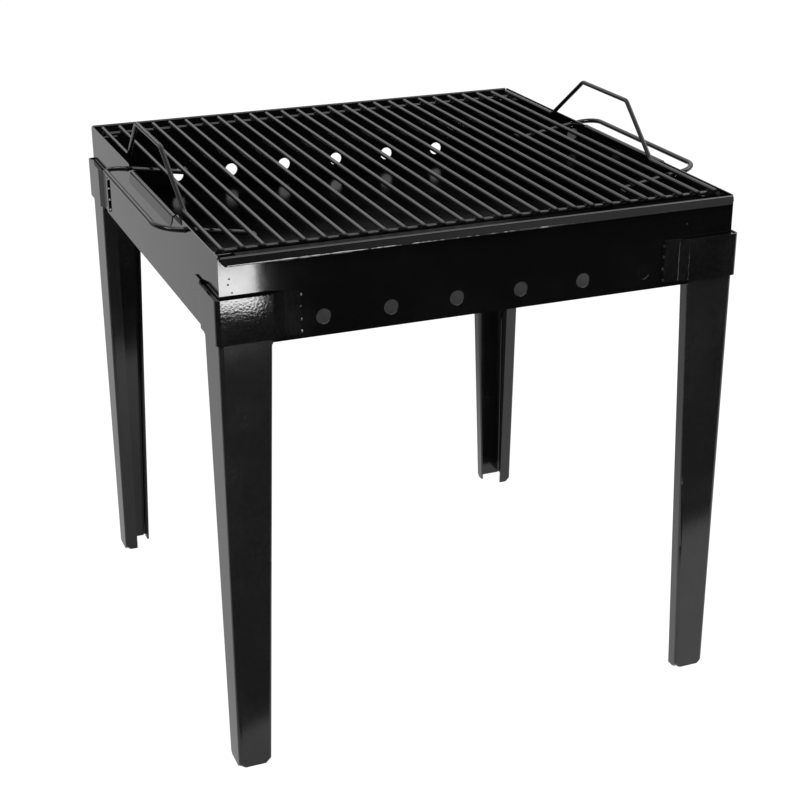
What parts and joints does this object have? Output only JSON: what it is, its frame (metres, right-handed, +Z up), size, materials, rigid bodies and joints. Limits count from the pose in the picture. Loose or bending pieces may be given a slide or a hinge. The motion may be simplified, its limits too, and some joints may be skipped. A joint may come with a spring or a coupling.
{
  "type": "camp grill",
  "caption": "Square charcoal camp grill of black enamelled sheet: open fire box with air vents, plug-in angle legs, lift-off bar grate with raised handles, sliding wire carry handles.",
  "frame": {"origin": "on the ground, under the middle of the fire box", "axes": "+X to the right along the front wall, +Y from the front to the rear, +Z up"},
  "size_m": [0.5552, 0.5108, 0.5573],
  "materials": {
    "box_enamel": "gloss enamel",
    "socket_enamel": "gloss enamel",
    "leg_enamel": "gloss enamel with fine orange peel",
    "grate_wire": "gloss enamel",
    "handle_wire": "gloss enamel"
  },
  "bodies": {
    "fire_box": {"front_wall": "box_enamel", "rear_wall": "box_enamel", "left_wall": "box_enamel", "right_wall": "box_enamel", "floor_pan": "box_enamel", "corner_socket_front_left": "socket_enamel", "corner_socket_front_right": "socket_enamel", "corner_socket_rear_left": "socket_enamel", "corner_socket_rear_right": "socket_enamel"},
    "leg_front_left": {"leg_front_left": "leg_enamel"},
    "leg_front_right": {"leg_front_right": "leg_enamel"},
    "leg_rear_left": {"leg_rear_left": "leg_enamel"},
    "leg_rear_right": {"leg_rear_right": "leg_enamel"},
    "grate": {"grate_rod_front": "grate_wire", "grate_rod_rear": "grate_wire", "lifting_bar_left": "grate_wire", "lifting_bar_right": "grate_wire", "grate_bar_01": "grate_wire", "grate_bar_02": "grate_wire", "grate_bar_03": "grate_wire", "grate_bar_04": "grate_wire", "grate_bar_05": "grate_wire", "grate_bar_06": "grate_wire", "grate_bar_07": "grate_wire", "grate_bar_08": "grate_wire", "grate_bar_09": "grate_wire", "grate_bar_10": "grate_wire", "grate_bar_11": "grate_wire", "grate_bar_12": "grate_wire", "grate_bar_13": "grate_wire", "grate_bar_14": "grate_wire", "grate_bar_15": "grate_wire", "grate_bar_16": "grate_wire", "grate_bar_17": "grate_wire", "grate_bar_18": "grate_wire", "grate_bar_19": "grate_wire", "grate_bar_20": "grate_wire", "grate_bar_21": "grate_wire", "grate_bar_22": "grate_wire", "grate_bar_23": "grate_wire", "grate_bar_24": "grate_wire", "grate_bar_25": "grate_wire"},
    "carry_handle_left": {"carry_handle_left": "handle_wire"},
    "carry_handle_right": {"carry_handle_right": "handle_wire"}
  },
  "joints": [
    {"name": "leg_front_left_pull", "type": "slide", "parent": "fire_box", "child": "leg_front_left", "axis": [0, 0, -1], "range_m": [0, 0.06]},
    {"name": "leg_front_right_pull", "type": "slide", "parent": "fire_box", "child": "leg_front_right", "axis": [0, 0, -1], "range_m": [0, 0.06]},
    {"name": "leg_rear_left_pull", "type": "slide", "parent": "fire_box", "child": "leg_rear_left", "axis": [0, 0, -1], "range_m": [0, 0.06]},
    {"name": "leg_rear_right_pull", "type": "slide", "parent": "fire_box", "child": "leg_rear_right", "axis": [0, 0, -1], "range_m": [0, 0.06]},
    {"name": "grate_lift", "type": "slide", "parent": "fire_box", "child": "grate", "axis": [0, 0, 1], "range_m": [0, 0.06]},
    {"name": "carry_handle_left_slide", "type": "slide", "parent": "fire_box", "child": "carry_handle_left", "axis": [-0.9877, 0, 0.1564], "range_m": [-0.005, 0.05]},
    {"name": "carry_handle_right_slide", "type": "slide", "parent": "fire_box", "child": "carry_handle_right", "axis": [0.9877, 0, 0.1564], "range_m": [-0.005, 0.05]}
  ]
}
